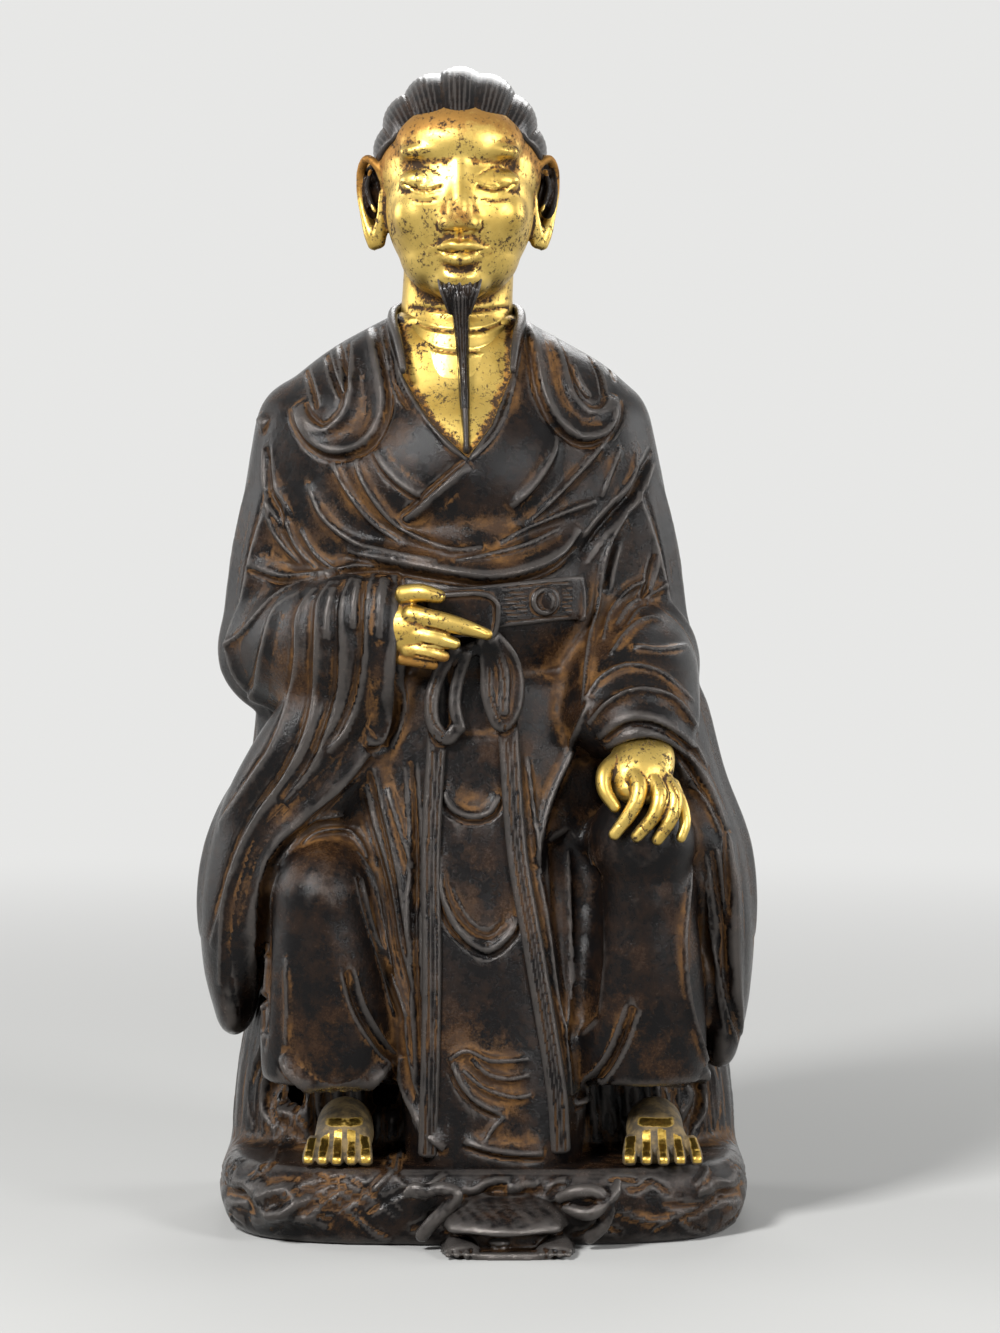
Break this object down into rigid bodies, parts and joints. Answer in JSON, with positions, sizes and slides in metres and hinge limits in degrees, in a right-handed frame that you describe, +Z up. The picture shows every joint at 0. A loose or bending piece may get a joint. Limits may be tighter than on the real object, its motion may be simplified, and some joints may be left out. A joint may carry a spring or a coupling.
{
  "type": "bronze deity figure",
  "caption": "Seated robed deity on a rock seat, with a tortoise and snake at its bare feet: a hollow bronze casting, dark lacquered, with gilt face, chest, hands and toes.",
  "frame": {"origin": "centre of the bounding box at floor level, under the base", "axes": "+Z up; the figure faces -Y; +X is to the viewer's right when the figure is seen from the front"},
  "size_m": [0.167, 0.147, 0.345],
  "materials": {
    "lacquered_bronze": "worn dark brown lacquer over cast bronze, with ochre dust in the recesses"
  },
  "bodies": {
    "root": {"deity_figure": "lacquered_bronze"}
  },
  "joints": []
}
